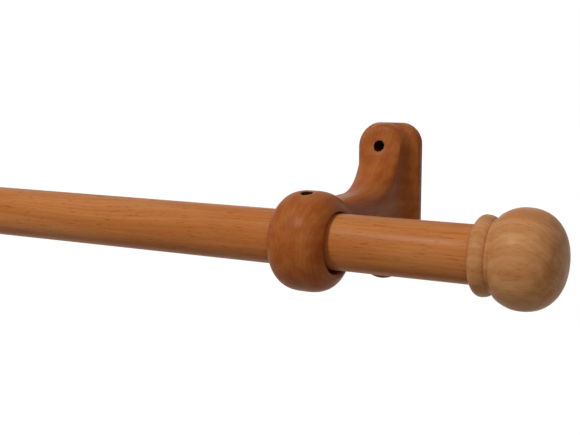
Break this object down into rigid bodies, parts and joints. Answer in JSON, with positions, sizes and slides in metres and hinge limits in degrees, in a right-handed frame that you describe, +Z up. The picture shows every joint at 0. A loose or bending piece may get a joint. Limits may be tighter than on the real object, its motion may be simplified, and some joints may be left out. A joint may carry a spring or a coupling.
{
  "type": "wooden curtain pole with brackets",
  "caption": "Round wooden curtain pole with ball finials, held through ball-shaped rings on one-piece carved wooden wall brackets.",
  "frame": {"origin": "on the wall plane, midway between the two brackets, at the height of the pole's axis", "axes": "X along the pole, +Y into the wall, +Z up"},
  "size_m": [1.2828, 0.1267, 0.0897],
  "materials": {
    "pole_wood": "honey-stained, satin lacquer",
    "bracket_wood": "red-brown stained, satin lacquer",
    "finial_wood": "light tan stained, satin lacquer",
    "steel": "zinc plated",
    "brass": "plain",
    "dark_steel": "blackened"
  },
  "bodies": {
    "brackets": {"bracket_right": "bracket_wood", "bracket_left": "bracket_wood"},
    "pole": {"pole": "pole_wood", "hanger_bolt_right": "steel", "hanger_bolt_left": "steel"},
    "finial_right": {"finial_right": "finial_wood", "threaded_insert_right": "brass"},
    "finial_left": {"finial_left": "finial_wood", "threaded_insert_left": "brass"},
    "lock_screw_right": {"pole_lock_screw_right": "dark_steel"},
    "lock_screw_left": {"pole_lock_screw_left": "dark_steel"}
  },
  "joints": [
    {"name": "pole_slide", "type": "slide", "parent": "brackets", "child": "pole", "axis": [1, 0, 0], "range_m": [-0.069, 0.069]},
    {"name": "finial_right_unscrew", "type": "slide", "parent": "pole", "child": "finial_right", "axis": [1, 0, 0], "range_m": [0, 0.025]},
    {"name": "finial_left_unscrew", "type": "slide", "parent": "pole", "child": "finial_left", "axis": [-1, 0, 0], "range_m": [0, 0.025]},
    {"name": "lock_screw_right_unscrew", "type": "slide", "parent": "brackets", "child": "lock_screw_right", "axis": [0, -0.1908, 0.9816], "range_m": [0, 0.014]},
    {"name": "lock_screw_left_unscrew", "type": "slide", "parent": "brackets", "child": "lock_screw_left", "axis": [0, -0.1908, 0.9816], "range_m": [0, 0.014]}
  ]
}
